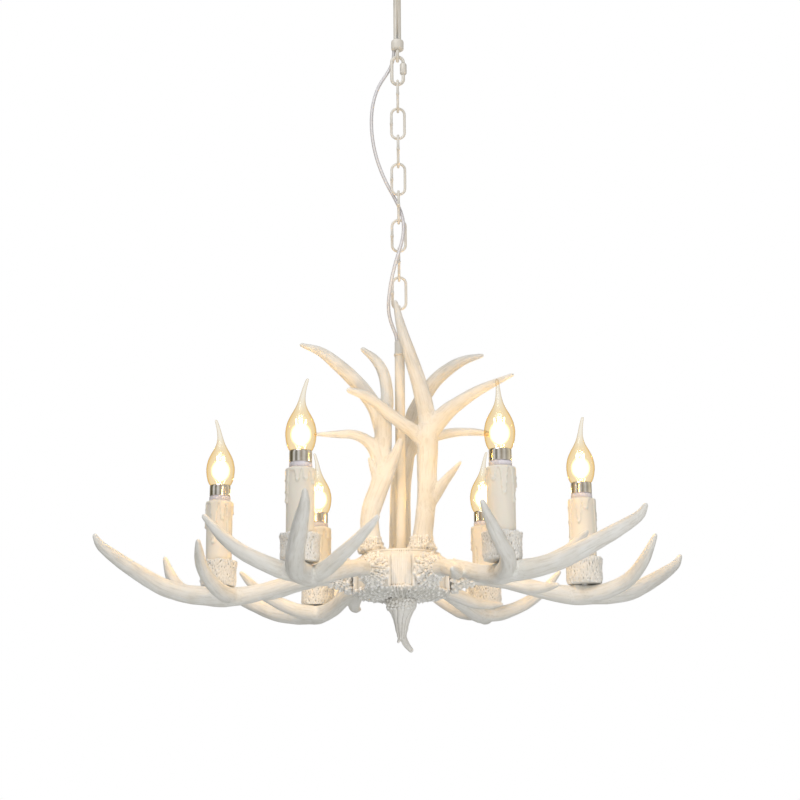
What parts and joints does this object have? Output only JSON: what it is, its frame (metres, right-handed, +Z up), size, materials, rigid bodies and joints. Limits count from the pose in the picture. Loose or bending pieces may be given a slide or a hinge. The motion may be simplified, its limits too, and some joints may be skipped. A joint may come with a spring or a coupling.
{
  "type": "antler chandelier",
  "caption": "White antler chandelier with candle bulbs on antler arms round a bark drum, hung on a chain from a ceiling rose.",
  "frame": {"origin": "middle of the ceiling rose's two fixing screws, in the ceiling's plane", "axes": "+Z up to the ceiling; +X right and -Y towards the viewer of the picture"},
  "size_m": [0.7118, 0.7106, 0.9235],
  "materials": {
    "cream_enamel": "satin",
    "zinc_steel": "satin",
    "antler_resin": "matte",
    "bark_resin": "matte",
    "ivory_plastic": "satin",
    "white_plastic": "gloss",
    "bulb_glass": "gloss",
    "clear_cable": "gloss"
  },
  "bodies": {
    "ceiling": {"ceiling_bracket": "zinc_steel", "ceiling_canopy": "cream_enamel", "canopy_screws": "cream_enamel", "down_rod": "cream_enamel", "rod_nuts": "zinc_steel", "rod_coupling": "cream_enamel", "rod_set_screw": "zinc_steel", "coupling_eye": "cream_enamel", "supply_cable": "clear_cable"},
    "quick_link": {"quick_link": "cream_enamel"},
    "quick_link_nut": {"quick_link_nut": "cream_enamel"},
    "chain_link_1": {"chain_link_1": "cream_enamel"},
    "chain_link_2": {"chain_link_2": "cream_enamel"},
    "chain_link_3": {"chain_link_3": "cream_enamel"},
    "chain_link_4": {"chain_link_4": "cream_enamel"},
    "chain_link_5": {"chain_link_5": "cream_enamel"},
    "chain_link_6": {"chain_link_6": "cream_enamel"},
    "chain_link_7": {"chain_link_7": "cream_enamel"},
    "chain_link_8": {"chain_link_8": "cream_enamel"},
    "chandelier": {"pole_loop": "cream_enamel", "centre_pole": "cream_enamel", "pole_nut": "zinc_steel", "hub_cover": "bark_resin", "hub_body": "bark_resin", "hub_base": "bark_resin", "terminal_block": "white_plastic", "finial": "antler_resin", "upright_antler_left": "antler_resin", "upright_antler_right": "antler_resin", "upright_antler_back": "antler_resin", "upright_screws": "zinc_steel", "antler_arm_1": "antler_resin", "candle_cup_1": "bark_resin", "candle_sleeve_1": "ivory_plastic", "antler_arm_2": "antler_resin", "candle_cup_2": "bark_resin", "candle_sleeve_2": "ivory_plastic", "antler_arm_3": "antler_resin", "candle_cup_3": "bark_resin", "candle_sleeve_3": "ivory_plastic", "antler_arm_4": "antler_resin", "candle_cup_4": "bark_resin", "candle_sleeve_4": "ivory_plastic", "antler_arm_5": "antler_resin", "candle_cup_5": "bark_resin", "candle_sleeve_5": "ivory_plastic", "antler_arm_6": "antler_resin", "candle_cup_6": "bark_resin", "candle_sleeve_6": "ivory_plastic", "arm_nipples": "zinc_steel", "arm_nuts": "zinc_steel", "arm_leads": "clear_cable", "cup_nipples": "zinc_steel", "lampholders": "white_plastic"},
    "bulb_1": {"bulb_1": "bulb_glass"},
    "bulb_2": {"bulb_2": "bulb_glass"},
    "bulb_3": {"bulb_3": "bulb_glass"},
    "bulb_4": {"bulb_4": "bulb_glass"},
    "bulb_5": {"bulb_5": "bulb_glass"},
    "bulb_6": {"bulb_6": "bulb_glass"}
  },
  "joints": [
    {"name": "quick_link_swing", "type": "hinge", "parent": "ceiling", "child": "quick_link", "pos_m": [0, 0, -0.1529], "axis": [0, 1, 0], "range_deg": [-40, 40], "deforming": ["supply_cable"]},
    {"name": "quick_link_nut_travel", "type": "slide", "parent": "quick_link", "child": "quick_link_nut", "axis": [0, 0, 1], "range_m": [-0.006, 0]},
    {"name": "chain_link_1_swing", "type": "hinge", "parent": "quick_link", "child": "chain_link_1", "pos_m": [0, 0, -0.1871], "axis": [1, 0, 0], "range_deg": [-40, 40]},
    {"name": "chain_link_2_swing", "type": "hinge", "parent": "chain_link_1", "child": "chain_link_2", "pos_m": [0, 0, -0.2252], "axis": [0, -1, 0], "range_deg": [-40, 40]},
    {"name": "chain_link_3_swing", "type": "hinge", "parent": "chain_link_2", "child": "chain_link_3", "pos_m": [0, 0, -0.2638], "axis": [-1, 0, 0], "range_deg": [-40, 40]},
    {"name": "chain_link_4_swing", "type": "hinge", "parent": "chain_link_3", "child": "chain_link_4", "pos_m": [0, 0, -0.3024], "axis": [0, 1, 0], "range_deg": [-40, 40]},
    {"name": "chain_link_5_swing", "type": "hinge", "parent": "chain_link_4", "child": "chain_link_5", "pos_m": [0, 0, -0.341], "axis": [1, 0, 0], "range_deg": [-40, 40]},
    {"name": "chain_link_6_swing", "type": "hinge", "parent": "chain_link_5", "child": "chain_link_6", "pos_m": [0, 0, -0.3796], "axis": [0, -1, 0], "range_deg": [-40, 40]},
    {"name": "chain_link_7_swing", "type": "hinge", "parent": "chain_link_6", "child": "chain_link_7", "pos_m": [0, 0, -0.4182], "axis": [-1, 0, 0], "range_deg": [-40, 40]},
    {"name": "chain_link_8_swing", "type": "hinge", "parent": "chain_link_7", "child": "chain_link_8", "pos_m": [0, 0, -0.4568], "axis": [0, 1, 0], "range_deg": [-40, 40]},
    {"name": "chandelier_swing", "type": "hinge", "parent": "chain_link_8", "child": "chandelier", "pos_m": [0, 0, -0.4954], "axis": [1, 0, 0], "range_deg": [-30, 30]},
    {"name": "bulb_1_turn", "type": "hinge", "parent": "chandelier", "child": "bulb_1", "pos_m": [0.1105, -0.19139, -0.7337], "axis": [0, 0, 1], "continuous": true},
    {"name": "bulb_2_turn", "type": "hinge", "parent": "chandelier", "child": "bulb_2", "pos_m": [0.221, 0, -0.7337], "axis": [0, 0, 1], "continuous": true},
    {"name": "bulb_3_turn", "type": "hinge", "parent": "chandelier", "child": "bulb_3", "pos_m": [0.1105, 0.19139, -0.7337], "axis": [0, 0, 1], "continuous": true},
    {"name": "bulb_4_turn", "type": "hinge", "parent": "chandelier", "child": "bulb_4", "pos_m": [-0.1105, 0.19139, -0.7337], "axis": [0, 0, 1], "continuous": true},
    {"name": "bulb_5_turn", "type": "hinge", "parent": "chandelier", "child": "bulb_5", "pos_m": [-0.221, 0, -0.7337], "axis": [0, 0, 1], "continuous": true},
    {"name": "bulb_6_turn", "type": "hinge", "parent": "chandelier", "child": "bulb_6", "pos_m": [-0.1105, -0.19139, -0.7337], "axis": [0, 0, 1], "continuous": true}
  ]
}
